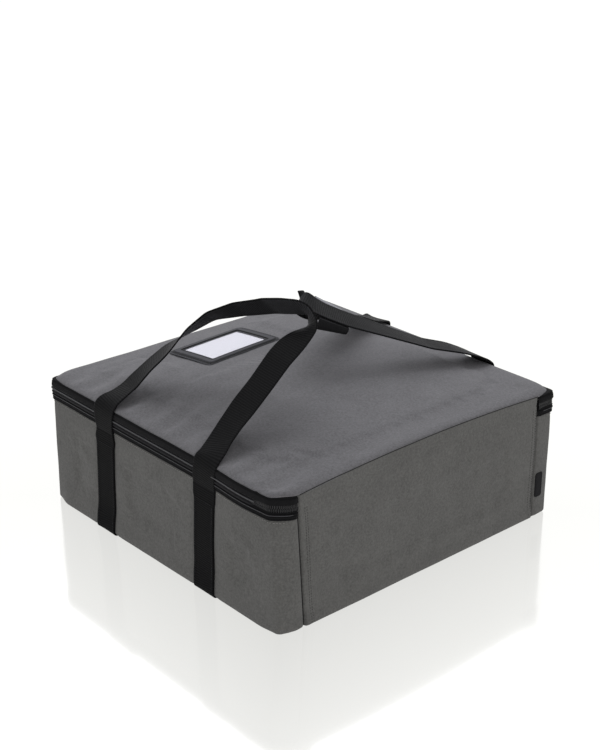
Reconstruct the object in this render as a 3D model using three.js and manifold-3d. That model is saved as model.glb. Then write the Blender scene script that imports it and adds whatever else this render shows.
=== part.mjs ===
// Insulated flat carrying bag: padded square body, zipped crowned lid, two webbing carrying loops.
// Millimetres, +Z up, +Y towards the back. Origin in the middle of the base, at the height it stands on.
import * as THREE from "three";
import { mergeVertices } from "three/addons/utils/BufferGeometryUtils.js";
import Module from "manifold-3d";

const wasm = await Module();
wasm.setup();

// Clearances
const GAP = 0.3; // between sewn or stacked pieces
const RUN = 0.3; // round the running chain of the zip

// Body
const HALF = 225; // half the side of the square plan
const CORNER_R = 8; // plan radius of the outer corners
const LEAST_R = 2; // radius that the corners of the inner layers keep
const SEAM_Y = 195; // upright seams on the hinge side, from its middle
const BASE_R = 8; // roll of the fabric at the base edge
const FABRIC = 1.2;
const FOAM = 9;
const LINING = 0.8;
const WALL_TOP = 144; // top edge of the wall fabric, under the zip

// Webbing
const WEB_T = 1.8;
const WEB_W = 40;
const STRAP_LEFT = -109.3; // middle of the left strap along X
const STRAP_RIGHT = 91; // middle of the right strap along X
const BACK_LEFT = -98; // the same on the back face
const BACK_RIGHT = 102;
const STRAP_TOP = WALL_TOP - 6.3; // end of the sewn part
const LOOP_ROOT = STRAP_TOP + GAP;

// Base stack, from the straps up
const PANEL_Z = WEB_T + GAP;
const BOARD_T = 2;
const BASE_FOAM_T = 6;
const BOARD_Z = PANEL_Z + FABRIC + GAP;
const BASE_FOAM_Z = BOARD_Z + BOARD_T + GAP;
const FLOOR_Z = BASE_FOAM_Z + BASE_FOAM_T + GAP;
const BOARD_D = 7.3; // depths at which the base layers clear the rolled fabric
const BASE_FOAM_D = 3.3;

// Wall layers, as depths from the outer face
const FOAM_D = FABRIC + GAP;
const LINING_D = FOAM_D + FOAM + GAP;
const INNER_D = LINING_D + LINING;

// Zip
const TAPE_D = 0.4;
const TAPE_T = 0.8;
const CHAIN_D = 0.3; // depth of the middle of the chain
const CHAIN_HALF_D = 1.5;
const CHAIN_H = 2.5;
const LOWER_TAPE_H = 10.6;
const UPPER_TAPE_H = 7.3;
const POST_H = 1; // post of a slider, between the two halves of the chain
const LOWER_CHAIN = WALL_TOP + GAP + LOWER_TAPE_H + RUN; // bottom of the lower half
const UPPER_CHAIN = LOWER_CHAIN + CHAIN_H + POST_H + 2 * RUN; // bottom of the upper half

// Lid
const LID_Z = UPPER_CHAIN - RUN;
const BODY_TOP = LID_Z - GAP; // top of the wall insulation, where the lid rests
const LID_FOAM_Z = LID_Z + LINING + GAP;
const RIM_Z = UPPER_CHAIN + CHAIN_H + RUN + UPPER_TAPE_H + GAP; // lower edge of the lid fabric
const HINGE_BULGE = 7.3; // extra height of that edge in the middle of the hinge side
const ROLL_H = 5;
const ROLL_W = 12;
const CROWN = 13.3; // rise of the middle of the lid over its rolled edge

// Label pocket on the lid
const LABEL_X = 90 - HALF;
const LABEL_Y = -12;
const LABEL_TURN = 4.5; // degrees
const LABEL_W = 81;
const LABEL_L = 130;
const WINDOW_W = 56;
const WINDOW_L = 94;
const LABEL_R = 7;

// Zip sliders on the left wall
const SLIDER_Y = 9; // distance of each slider's middle from the middle of the wall
const SLIDER_L = 16;
const SLIDER_H = 9.2;
const SLIDER_T = 1.2;
const SLIDER_Z = (LOWER_CHAIN + CHAIN_H + UPPER_CHAIN) / 2;
const OUT_PLATE = CHAIN_D - CHAIN_HALF_D - RUN; // inner face of the outer plate
const IN_PLATE = CHAIN_D + CHAIN_HALF_D + RUN; // outer face of the inner plate
const SKIVE_D = IN_PLATE + SLIDER_T + 0.5; // depth of the insulation behind the sliders
const SKIVE_Z = SLIDER_Z - SLIDER_H / 2 - 0.9;
const LID_SKIVE_Z = SLIDER_Z + SLIDER_H / 2 + 1.4;
const PULL_T = 1.2;
const PULL_L = 32;
const PULL_W = 9;
const BRIDGE_W = 3;

// Grip wrap on the back loop
const GRIP_T = 1.5;
const FLAP_GAP = 0.8; // between the webbing's edge and a flap, so that the flap can turn
const LOOP_STEPS = 96; // rings of points along a loop
const GRIP_FROM = 57; // rings between which the wrap lies
const GRIP_TO = 63;

const SHADE = {
  lid: [0x6b6b70, 0.88, 0],
  wall: [0x59595a, 0.9, 0],
  base: [0x4f4f50, 0.92, 0],
  web: [0x1d1d1e, 0.82, 0],
  tape: [0x18181a, 0.9, 0],
  chain: [0x3a3a3d, 0.45, 0],
  foam: [0xd9d9d4, 0.95, 0],
  board: [0x2b2b2c, 0.7, 0],
  lining: [0xb9bdc2, 0.35, 0.6],
  frame: [0x6b6a70, 0.8, 0],
  window: [0xe6e7ee, 0.12, 0],
  card: [0xdbdae1, 0.6, 0],
  metal: [0x2c2c2f, 0.4, 0.8],
  grip: [0x86868d, 0.95, 0],
  gripDark: [0x1f1f21, 0.95, 0],
};

const rad = THREE.MathUtils.degToRad;
const vec = (x, y, z) => new THREE.Vector3(x, y, z);
const bag = new THREE.Group();

function add(name, geometry, shade) {
  const [color, roughness, metalness] = SHADE[shade];
  const material = new THREE.MeshStandardMaterial({ color, roughness, metalness });
  if (shade === "window") Object.assign(material, { transparent: true, opacity: 0.25 });
  const mesh = new THREE.Mesh(geometry, material);
  mesh.name = name;
  bag.add(mesh);
}

// Closed surface from points and triangles, turned so that it faces out.
function closedSurface(points, faces) {
  let volume = 0;
  const cross = vec(0, 0, 0);
  for (const [a, b, c] of faces) volume += points[a].dot(cross.crossVectors(points[b], points[c]));
  const index = faces.flatMap(([a, b, c]) => (volume < 0 ? [a, c, b] : [a, b, c]));
  const geometry = new THREE.BufferGeometry();
  const flat = points.flatMap((p) => [p.x, p.y, p.z]);
  geometry.setAttribute("position", new THREE.Float32BufferAttribute(flat, 3));
  geometry.setIndex(index);
  geometry.computeVertexNormals();
  return geometry;
}

const turnOf = (pts) =>
  pts.reduce((s, [x, y], i) => s + x * pts[(i + 1) % pts.length][1] - y * pts[(i + 1) % pts.length][0], 0);

// Triangles over a flat section, in the section's own turning sense.
function sectionFaces(section) {
  const flat = section.map(([x, y]) => new THREE.Vector2(x, y));
  const sense = Math.sign(turnOf(section));
  return THREE.ShapeUtils.triangulateShape(flat, []).map(([a, b, c]) =>
    Math.sign(turnOf([section[a], section[b], section[c]])) === sense ? [a, b, c] : [a, c, b],
  );
}

// Surface over a row of rings with the same number of points in each. The ends are closed over the
// given section, by a fan to two tips, or by joining the last ring to the first.
function loft(rings, { section, tips, closed } = {}) {
  const n = rings[0].length;
  const points = rings.flat();
  const faces = [];
  const top = (rings.length - 1) * n;
  for (let i = 0; i < rings.length - (closed ? 0 : 1); i++) {
    const next = ((i + 1) % rings.length) * n;
    for (let j = 0; j < n; j++) {
      const k = (j + 1) % n;
      faces.push([i * n + j, i * n + k, next + j], [i * n + k, next + k, next + j]);
    }
  }
  if (section)
    for (const [a, b, c] of sectionFaces(section)) faces.push([a, c, b], [top + a, top + b, top + c]);
  if (tips) {
    points.push(...tips);
    const tip = points.length - 2;
    for (let j = 0; j < n; j++) {
      const k = (j + 1) % n;
      faces.push([k, j, tip], [top + j, top + k, tip + 1]);
    }
  }
  return closedSurface(points, faces);
}

// One corner of the plan: places on the outer face with the direction that points out there.
function corner(sx, sy, from, to, steps) {
  return Array.from({ length: steps + 1 }, (_, i) => {
    const a = rad(from + ((to - from) * i) / steps);
    const reach = HALF - CORNER_R;
    return {
      x: sx * reach + CORNER_R * Math.cos(a),
      y: sy * reach + CORNER_R * Math.sin(a),
      nx: Math.cos(a),
      ny: Math.sin(a),
      sx,
      sy,
    };
  });
}
const onHinge = (y) => ({ x: HALF, y, nx: 1, ny: 0 });

// Round the plan from the near seam of the hinge side, over front, left and back, to its far seam.
const AROUND = [
  onHinge(-SEAM_Y),
  ...corner(1, -1, 0, -90, 6),
  ...corner(-1, -1, -90, -180, 6),
  ...corner(-1, 1, 180, 90, 6),
  ...corner(1, 1, 90, 0, 6),
  onHinge(SEAM_Y),
];

// Point at a depth behind a place. A corner keeps its least radius from some depth on.
function inward(s, d, z) {
  const k = s.sx ? Math.max(0, d - CORNER_R + LEAST_R) : 0;
  return vec(s.x - s.nx * (d - k) - (s.sx ?? 0) * k, s.y - s.ny * (d - k) - (s.sy ?? 0) * k, z);
}

// Sweep a section of [depth, height] points along places of the plan.
function sweepWall(places, section, closed = false) {
  const rings = places.map((s) => section.map(([d, z]) => inward(s, d, z)));
  return loft(rings, closed ? { closed } : { section });
}

// Flat plate that follows the plan at a depth.
function plate(depth, z0, z1) {
  const rings = [z0, z1].map((z) => AROUND.map((s) => inward(s, depth, z)));
  return loft(rings, { tips: [vec(0, 0, z0), vec(0, 0, z1)] });
}

// Section of a layer that lies at a depth and rolls under the base edge.
function rolledSection(outer, thickness, top) {
  const low = PANEL_Z + BASE_R;
  const arc = (d, down) =>
    [0, 30, 60, 90].map((a) => {
      const r = BASE_R - d;
      const turn = rad(down ? a : 90 - a);
      return [BASE_R - r * Math.cos(turn), low - r * Math.sin(turn)];
    });
  return [[outer, top], ...arc(outer, true), ...arc(outer + thickness, false), [outer + thickness, top]];
}

function box(x0, x1, y0, y1, z0, z1) {
  const geometry = new THREE.BoxGeometry(x1 - x0, y1 - y0, z1 - z0);
  return geometry.translate((x0 + x1) / 2, (y0 + y1) / 2, (z0 + z1) / 2);
}

function toSolid(geometry) {
  const bare = geometry.clone().deleteAttribute("normal").deleteAttribute("uv");
  const merged = mergeVertices(bare, 1e-4);
  const triVerts = new Uint32Array(merged.index.array);
  const vertProperties = new Float32Array(merged.attributes.position.array);
  return new wasm.Manifold(new wasm.Mesh({ numProp: 3, vertProperties, triVerts }));
}

function toGeometry(solid) {
  const mesh = solid.getMesh();
  const geometry = new THREE.BufferGeometry();
  geometry.setAttribute("position", new THREE.BufferAttribute(mesh.vertProperties, 3));
  geometry.setIndex(new THREE.BufferAttribute(mesh.triVerts, 1));
  geometry.computeVertexNormals();
  return geometry;
}

const joined = (parts) => toGeometry(wasm.Manifold.union(parts.map(toSolid)));

// Body fabric and base
add("wall_band", sweepWall(AROUND, rolledSection(0, FABRIC, WALL_TOP)), "wall");
const HINGE_END = SEAM_Y - GAP;
const hingeSide = (steps) =>
  Array.from({ length: steps + 1 }, (_, i) => onHinge(HINGE_END * ((2 * i) / steps - 1)));
add("hinge_panel", sweepWall(hingeSide(1), rolledSection(0, FABRIC, BODY_TOP)), "wall");
add("base_panel", plate(BASE_R + GAP, PANEL_Z, PANEL_Z + FABRIC), "base");
add("base_board", plate(BOARD_D, BOARD_Z, BOARD_Z + BOARD_T), "board");
add("base_foam", plate(BASE_FOAM_D, BASE_FOAM_Z, BASE_FOAM_Z + BASE_FOAM_T), "foam");
add("base_lining", plate(INNER_D + GAP, FLOOR_Z, FLOOR_Z + LINING), "lining");

// Wall insulation: four slabs that meet in the middle of each corner
const FOAM_SECTION = [
  [FOAM_D, FLOOR_Z],
  [FOAM_D + FOAM, FLOOR_Z],
  [FOAM_D + FOAM, BODY_TOP],
  [SKIVE_D, BODY_TOP],
  [SKIVE_D, SKIVE_Z],
  [FOAM_D, SKIVE_Z - 1.8],
];
function wallFoam(first, second, from, to) {
  const half = 40; // half a corner, less the gap between two slabs
  const places = [
    ...corner(...first, from + half, from, 3),
    ...corner(...second, to, to - half, 3),
  ];
  return sweepWall(places, FOAM_SECTION);
}
add("front_foam", wallFoam([1, -1], [-1, -1], -90, -90), "foam");
add("left_foam", wallFoam([-1, -1], [-1, 1], 180, 180), "foam");
add("back_foam", wallFoam([-1, 1], [1, 1], 90, 90), "foam");
add("right_foam", wallFoam([1, 1], [1, -1], 0, 0), "foam");
const LINING_SECTION = [
  [LINING_D, FLOOR_Z],
  [INNER_D, FLOOR_Z],
  [INNER_D, BODY_TOP],
  [LINING_D, BODY_TOP],
];
add("wall_lining", sweepWall(AROUND, LINING_SECTION, true), "lining");

// Zip tapes and the two halves of the chain
const tape = (z0, z1) => [
  [TAPE_D, z0],
  [TAPE_D + TAPE_T, z0],
  [TAPE_D + TAPE_T, z1],
  [TAPE_D, z1],
];
const chain = (z0) =>
  Array.from({ length: 8 }, (_, i) => {
    const a = rad(22.5 + 45 * i);
    const grow = 1 / Math.cos(rad(22.5));
    return [
      CHAIN_D + CHAIN_HALF_D * grow * Math.cos(a),
      z0 + CHAIN_H / 2 + (CHAIN_H / 2) * grow * Math.sin(a),
    ];
  });
add("lower_zip_tape", sweepWall(AROUND, tape(WALL_TOP + GAP, LOWER_CHAIN - RUN)), "tape");
add("lower_zip_chain", sweepWall(AROUND, chain(LOWER_CHAIN)), "chain");
add("upper_zip_tape", sweepWall(AROUND, tape(UPPER_CHAIN + CHAIN_H + RUN, RIM_Z - GAP)), "tape");
add("upper_zip_chain", sweepWall(AROUND, chain(UPPER_CHAIN)), "chain");

// Sewn straps up the front and back faces and under the base
function wallStrap(x, side) {
  const section = rolledSection(-GAP - WEB_T, WEB_T, STRAP_TOP);
  const rings = [-WEB_W / 2, WEB_W / 2].map((w) =>
    section.map(([d, z]) => vec(x + w, side * (HALF - d), z)),
  );
  return loft(rings, { section });
}
function baseStrap(front, back) {
  const end = HALF - BASE_R - GAP;
  const w = WEB_W / 2;
  const section = [[-w, 0], [w, 0], [w, WEB_T], [-w, WEB_T]];
  const rings = [[front, -end], [back, end]].map(([x, y]) => section.map(([a, z]) => vec(x + a, y, z)));
  return loft(rings, { section });
}
add("strap_front_left", wallStrap(STRAP_LEFT, -1), "web");
add("strap_front_right", wallStrap(STRAP_RIGHT, -1), "web");
add("strap_back_left", wallStrap(BACK_LEFT, 1), "web");
add("strap_back_right", wallStrap(BACK_RIGHT, 1), "web");
add("strap_base_left", baseStrap(STRAP_LEFT, BACK_LEFT), "web");
add("strap_base_right", baseStrap(STRAP_RIGHT, BACK_RIGHT), "web");

// Folded tab sewn into the far seam of the hinge side
const TAB = [[-GAP, 27], [-GAP, 64], [-GAP - 1, 64], [-GAP - 1, 27]];
add("side_tab", sweepWall([onHinge(SEAM_Y + 4), onHinge(SEAM_Y + 14)], TAB), "web");

// Lid: height of its outer face over a place of the plan, at a depth from its edge
const bow = (u) => 1 - Math.pow(Math.min(Math.abs(u) / HALF, 1), 2.5);
function hingeRise(x, y) {
  const along = Math.max(0, 1 - (y / SEAM_Y) ** 2);
  const across = Math.max(0, 1 - (HALF - x) / 60);
  return HINGE_BULGE * along * across ** 2;
}
function lidHeight(x, y, depth) {
  const u = 1 - Math.min(depth / ROLL_W, 1);
  return RIM_Z + hingeRise(x, y) + ROLL_H * Math.sqrt(1 - u * u) + CROWN * bow(x) * bow(y);
}

// Places round the lid, with points along the straight sides too
function lidPlan() {
  const places = [];
  AROUND.forEach((s, i) => {
    places.push(s);
    const next = AROUND[(i + 1) % AROUND.length];
    if (Math.hypot(next.x - s.x, next.y - s.y) < HALF) return;
    for (let k = 1; k < 6; k++)
      places.push({
        x: s.x + ((next.x - s.x) * k) / 6,
        y: s.y + ((next.y - s.y) * k) / 6,
        nx: s.nx,
        ny: s.ny,
      });
  });
  return places;
}
const LID_PLAN = lidPlan();
const LID_DEPTHS = [0, 1.5, 4, 7.5, 12, 30, 62, 105, 150, 190];

// The lid's outer face moved in along its own normals
function lidShell(offset) {
  const ring = (depth) =>
    LID_PLAN.map((s) => {
      const k = 1 - depth / HALF;
      return vec(s.x * k, s.y * k, lidHeight(s.x * k, s.y * k, depth));
    });
  const outer = LID_DEPTHS.map(ring);
  const middle = vec(0, 0, lidHeight(0, 0, HALF));
  if (offset === 0) return { rings: outer, middle };
  const rings = outer.map((points, i) =>
    points.map((p, j) => {
      const s = LID_PLAN[j];
      if (i === 0) return vec(p.x - s.nx * offset, p.y - s.ny * offset, p.z);
      const before = outer[i - 1][j];
      const after = i + 1 < outer.length ? outer[i + 1][j] : middle;
      const side = vec(-s.ny, s.nx, 0);
      const normal = after.clone().sub(before).cross(side).normalize();
      if (normal.z < 0) normal.negate();
      return p.clone().addScaledVector(normal, -offset);
    }),
  );
  return { rings, middle: middle.clone().setZ(middle.z - offset) };
}

function lidCover() {
  const outer = lidShell(0);
  const inner = lidShell(FABRIC);
  const rings = [...outer.rings.slice().reverse(), ...inner.rings];
  return loft(rings, { tips: [outer.middle, inner.middle] });
}
function lidFoam() {
  const top = lidShell(FOAM_D);
  const side = [
    [SKIVE_D, LID_FOAM_Z],
    [SKIVE_D, LID_SKIVE_Z],
    [FOAM_D, LID_SKIVE_Z + 1.5],
  ].map(([d, z]) => LID_PLAN.map((s) => inward(s, d, z)));
  return loft([...side, ...top.rings], { tips: [vec(0, 0, LID_FOAM_Z), top.middle] });
}
add("lid_cover", lidCover(), "lid");
add("lid_foam", lidFoam(), "foam");
add("lid_lining", plate(SKIVE_D, LID_Z, LID_Z + LINING), "lining");

// Strip of the hinge side's fabric that turns with the lid; its top edge follows the bulge
function hingeEdge() {
  const section = [[0, LID_Z], [FABRIC, LID_Z], [FABRIC, 1], [0, 1]];
  const rings = hingeSide(8).map((s) =>
    section.map(([d, z]) => inward(s, d, z === 1 ? RIM_Z - GAP + hingeRise(HALF, s.y) : z)),
  );
  return loft(rings, { section: [[0, 0], [1, 0], [1, 1], [0, 1]] });
}
add("hinge_edge", hingeEdge(), "wall");

// Label pocket: pieces drawn flat, then laid on the lid's crown
function onLid(u, v, height) {
  const a = rad(LABEL_TURN);
  const x = LABEL_X + u * Math.cos(a) - v * Math.sin(a);
  const y = LABEL_Y + u * Math.sin(a) + v * Math.cos(a);
  return vec(x, y, lidHeight(x, y, HALF) + height);
}
function labelFrame() {
  const border = (LABEL_W - WINDOW_W) / 2;
  const stretch = (LABEL_L - WINDOW_L) / 2 / border;
  const ring = [[3.4, 1.1], [4.2, 2.8], [9, 2.8], [10, 1.9]];
  const section = [[0, GAP], [0, 1.1], ...ring, [11.9, 1.9], [11.9, GAP]];
  const ends = [[1, -1, -90], [1, 1, 0], [-1, 1, 90], [-1, -1, 180]];
  const places = ends.flatMap(([su, sv, from]) =>
    [0, 30, 60, 90].map((a) => [su, sv, Math.cos(rad(from + a)), Math.sin(rad(from + a))]),
  );
  const sides = [];
  places.forEach((p, i) => {
    sides.push([p, p, 0]);
    const next = places[(i + 1) % places.length];
    if (p[0] !== next[0] || p[1] !== next[1]) for (let k = 1; k < 5; k++) sides.push([p, next, k / 5]);
  });
  const at = ([su, sv, cu, cv], inset) => {
    const step = (inset * border) / 12;
    const r = LABEL_R * (1 - inset / 12);
    return [su * (LABEL_W / 2 - step - r) + cu * r, sv * (LABEL_L / 2 - step * stretch - r) + cv * r];
  };
  const rings = sides.map(([p, q, t]) =>
    section.map(([inset, h]) => {
      const [a, b] = [at(p, inset), at(q, inset)];
      return onLid(a[0] + (b[0] - a[0]) * t, a[1] + (b[1] - a[1]) * t, h);
    }),
  );
  return loft(rings, { closed: true });
}

// Thin sheet laid over the crown, as columns of points along the label
function laidSheet(width, length, low, high) {
  const steps = 6;
  const rings = [];
  for (let i = 0; i <= steps; i++) {
    const u = width * (i / steps - 0.5);
    const row = (h) => Array.from({ length: steps + 1 }, (_, j) => onLid(u, length * (j / steps - 0.5), h));
    rings.push([...row(low), ...row(high).reverse()]);
  }
  const section = [
    ...Array.from({ length: steps + 1 }, (_, j) => [j, 0]),
    ...Array.from({ length: steps + 1 }, (_, j) => [steps - j, 1]),
  ];
  return loft(rings, { section });
}
add("label_frame", labelFrame(), "frame");
add("label_card", laidSheet(WINDOW_W - 2 * GAP, WINDOW_L - 2 * GAP, 0.3, 0.8), "card");
add("label_window", laidSheet(WINDOW_W - 2 * GAP, WINDOW_L - 2 * GAP, 1.1, 1.5), "window");

// Zip sliders on the left wall. Depths run in from the outer face, so X is depth less HALF.
const wallBox = (d0, d1, y0, y1, z0, z1) => box(d0 - HALF, d1 - HALF, y0, y1, z0, z1);
const PIN_D = OUT_PLATE - SLIDER_T - GAP - PULL_T / 2;
const PIN_Z = SLIDER_Z - 1.6;
const BRIDGE_D = PIN_D - PULL_T / 2 - GAP;

function sliderPlate(y, side, depth) {
  const l = SLIDER_L / 2;
  const h = SLIDER_H / 2;
  const half = [[-l, h * 0.7], [-l * 0.4, h], [l * 0.75, h], [l, h * 0.75]];
  const outline = [...half, ...half.map(([u, w]) => [u, -w]).reverse()];
  const rings = [depth, depth + SLIDER_T].map((d) =>
    outline.map(([u, w]) => vec(d - HALF, y + side * u, SLIDER_Z + w)),
  );
  return loft(rings, { section: outline });
}

function slider(side) {
  const y = side * SLIDER_Y;
  const low = SLIDER_Z - SLIDER_H / 2;
  const rail = LOWER_CHAIN - RUN;
  const [y0, y1] = [y - 4, y + 4];
  const [b0, b1] = [y - BRIDGE_W / 2, y + BRIDGE_W / 2];
  const foot = OUT_PLATE - SLIDER_T;
  return joined([
    sliderPlate(y, side, foot),
    sliderPlate(y, side, IN_PLATE),
    wallBox(foot + 0.1, IN_PLATE + 0.1, y - 2, y + 2, SLIDER_Z - POST_H / 2, SLIDER_Z + POST_H / 2),
    wallBox(OUT_PLATE - 0.1, TAPE_D - RUN, y0, y1, low, rail),
    wallBox(TAPE_D + TAPE_T + RUN, IN_PLATE + 0.1, y0, y1, low, rail),
    wallBox(BRIDGE_D - 1, foot + 0.1, b0, b1, PIN_Z + 3.2, PIN_Z + 4.4),
    wallBox(BRIDGE_D - 1, foot + 0.1, b0, b1, PIN_Z - 2.2, PIN_Z - 1),
    wallBox(BRIDGE_D - 1, BRIDGE_D, b0, b1, PIN_Z - 2.2, PIN_Z + 4.4),
  ]);
}

// Pull: a tab whose window goes round the bridge of the slider, with a hole near its tip
function pull(side) {
  const y = side * SLIDER_Y;
  const top = PIN_Z + PULL_T / 2;
  const [w, tip] = [PULL_W / 2, top - PULL_L];
  const shape = new THREE.Shape([
    new THREE.Vector2(-w * 0.85, top),
    new THREE.Vector2(-w * 0.85, top - 9),
    new THREE.Vector2(-w, top - 14),
    new THREE.Vector2(-w, tip + 3),
    new THREE.Vector2(-w * 0.6, tip),
    new THREE.Vector2(w * 0.6, tip),
    new THREE.Vector2(w, tip + 3),
    new THREE.Vector2(w, top - 14),
    new THREE.Vector2(w * 0.85, top - 9),
    new THREE.Vector2(w * 0.85, top),
  ]);
  const arm = BRIDGE_W / 2 + 0.8;
  shape.holes.push(
    new THREE.Path([
      new THREE.Vector2(-arm, top - PULL_T),
      new THREE.Vector2(arm, top - PULL_T),
      new THREE.Vector2(arm, top - 7),
      new THREE.Vector2(-arm, top - 7),
    ]),
    new THREE.Path(
      Array.from({ length: 10 }, (_, i) => {
        const a = rad(36 * i);
        return new THREE.Vector2(2 * Math.cos(a), tip + 5.5 + 2 * Math.sin(a));
      }),
    ),
  );
  const geometry = new THREE.ExtrudeGeometry(shape, { depth: PULL_T, bevelEnabled: false });
  geometry.rotateX(Math.PI / 2).rotateZ(Math.PI / 2);
  geometry.translate(-HALF + PIN_D - PULL_T / 2, y, 0);
  return geometry;
}
add("front_slider", slider(-1), "metal");
add("back_slider", slider(1), "metal");
add("front_pull", pull(-1), "metal");
add("back_pull", pull(1), "metal");

// Carrying loops. Each row has the middle of the webbing, as X, depth in from the face and height over
// the sewn root, then the direction across the webbing.
const FRONT_LOOP = [
  [STRAP_LEFT, -1.2, 0, 1, 0, 0],
  [STRAP_LEFT, -2.6, 13, 1, 0, 0],
  [-107, -2.9, 25, 1, 0, 0],
  [-104.5, -1.8, 33.5, 1, 0, 0],
  [-101, 4.5, 39.5, 0.99, 0, 0.08],
  [-98, 13, 44, 0.98, 0.02, 0.2],
  [-96, 33, 53, 0.96, -0.11, 0.25],
  [-86, 55, 76, 0.88, -0.47, 0.07],
  [-71.5, 72.5, 97, 0.85, -0.51, 0.11],
  [-57, 97, 120, 0.65, -0.58, 0.5],
  [-41.5, 118, 138, 0.47, -0.7, 0.53],
  [-13.5, 138, 149.5, 0.3, -0.69, 0.66],
  [26.5, 153, 161.5, 0.18, -0.71, 0.68],
  [66, 155, 172, 0.29, -0.67, 0.69],
  [81.5, 158, 174.5, 0.54, -0.56, 0.63],
  [89.5, 160, 171.5, 0.7, -0.47, 0.53],
  [95.5, 159, 165, 0.79, -0.41, 0.45],
  [99.5, 158, 159.5, 0.79, -0.47, 0.39],
  [99.5, 152, 155, 0.91, -0.31, 0.28],
  [100, 141.5, 150.5, 0.98, -0.13, 0.13],
  [99.5, 125, 141.5, 1, -0.05, -0.08],
  [97.5, 109, 129.5, 0.99, -0.08, -0.12],
  [95, 82, 102.5, 1, -0.06, -0.04],
  [92, 60.5, 82, 1, -0.01, -0.03],
  [91.5, 41.5, 65.5, 0.99, 0.05, 0.14],
  [93, 23.5, 50.5, 0.97, 0.12, 0.23],
  [98.5, 7, 41, 0.95, 0.15, 0.15],
  [97.5, -1, 36, 1, 0, 0],
  [95, -2.9, 25, 1, 0, 0],
  [STRAP_RIGHT, -2.6, 13, 1, 0, 0],
  [STRAP_RIGHT, -1.2, 0, 1, 0, 0],
];
const BACK_LOOP = [
  [BACK_LEFT, -1.2, 0, -1, 0, 0],
  [BACK_LEFT, -2.6, 11, -1, 0, 0],
  [-95.5, -3, 22, -1, 0, 0],
  [-91.5, -2.6, 32, -1, 0, 0],
  [-87.5, 4, 39.5, -0.99, -0.05, -0.06],
  [-79.5, 22, 46, -0.98, -0.1, -0.05],
  [-68.5, 49, 56.5, -0.96, -0.2, 0],
  [-55.5, 90, 77, -0.95, -0.22, 0],
  [-40, 132, 96.5, -0.95, -0.05, 0],
  [-27, 165, 111, -0.88, 0.3, 0.1],
  [-16, 190, 123, -0.74, 0.64, 0.1],
  [-8, 207, 131, -0.58, 0.8, 0.11],
  [-4.5, 218.5, 134.5, -0.51, 0.85, 0.12],
  [-8, 223, 140.5, -0.5, 0.85, 0.13],
  [-2, 219, 144, -0.52, 0.84, 0.13],
  [8.5, 211, 137.5, -0.72, 0.68, 0.15],
  [17.5, 196, 127, -0.79, 0.59, 0.14],
  [29, 177, 116.5, -0.87, 0.45, 0.2],
  [55, 124, 92, -0.9, 0.44, 0.06],
  [80, 80.5, 72.5, -0.93, 0.37, 0],
  [92, 47, 62, -0.95, 0.32, -0.01],
  [100, 27, 53.5, -0.95, 0.3, -0.08],
  [104, 10, 45, -0.98, 0.12, -0.05],
  [104, -1.6, 36, -1, 0, 0],
  [103.5, -2.9, 24, -1, 0, 0],
  [BACK_RIGHT, -2.6, 11, -1, 0, 0],
  [BACK_RIGHT, -1.2, 0, -1, 0, 0],
];

const FRONT = { side: -1, rows: FRONT_LOOP };
const BACK = { side: 1, rows: BACK_LOOP };

// Frame of the webbing at a share of its length: middle, along, across and through
function webFrame({ side, rows }, t) {
  const middles = rows.map(([x, depth, up]) => vec(x, side * (HALF - depth), LOOP_ROOT + up));
  const middle = new THREE.CatmullRomCurve3(middles, false, "centripetal");
  const crossings = rows.map((r) => vec(r[3], r[4], r[5]));
  const across = new THREE.CatmullRomCurve3(crossings, false, "catmullrom", 0.4);
  const c = middle.getPoint(t);
  const e = 1e-3;
  const along = middle.getPoint(Math.min(t + e, 1)).sub(middle.getPoint(Math.max(t - e, 0))).normalize();
  const w = across.getPoint(t);
  w.addScaledVector(along, -w.dot(along)).normalize();
  return { c, along, w, n: along.clone().cross(w) };
}
const place = (f, w, n) => f.c.clone().addScaledVector(f.w, w).addScaledVector(f.n, n);

// Sweep a section of [across, through] points along part of a loop
function sweepWeb(web, section, from = 0, to = LOOP_STEPS) {
  const rings = Array.from({ length: to - from + 1 }, (_, i) => {
    const frame = webFrame(web, (from + i) / LOOP_STEPS);
    return section.map(([w, n]) => place(frame, w, n));
  });
  return loft(rings, { section });
}
const [W, T] = [WEB_W / 2, WEB_T / 2];
const WEB_SECTION = [[-W, -T], [W, -T], [W, T], [-W, T]];
add("front_loop", sweepWeb(FRONT, WEB_SECTION), "web");
add("back_loop", sweepWeb(BACK, WEB_SECTION), "web");

// Grip wrap: a panel under the back loop, with a flap along each edge
function strip(line, thickness) {
  const out = line.map(([w, n], i) => {
    const a = line[Math.max(i - 1, 0)];
    const b = line[Math.min(i + 1, line.length - 1)];
    const l = Math.hypot(b[0] - a[0], b[1] - a[1]);
    return [w - ((b[1] - a[1]) / l) * thickness, n + ((b[0] - a[0]) / l) * thickness];
  });
  return [...line, ...out.reverse()];
}
const WRAP = -T - 2 * GAP; // upper face of the wrap, under the twisted webbing
const CENTRE_LINE = [[-W, WRAP], [W, WRAP]];
add("grip_centre", sweepWeb(BACK, strip(CENTRE_LINE, -GRIP_T), GRIP_FROM, GRIP_TO), "gripDark");

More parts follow.
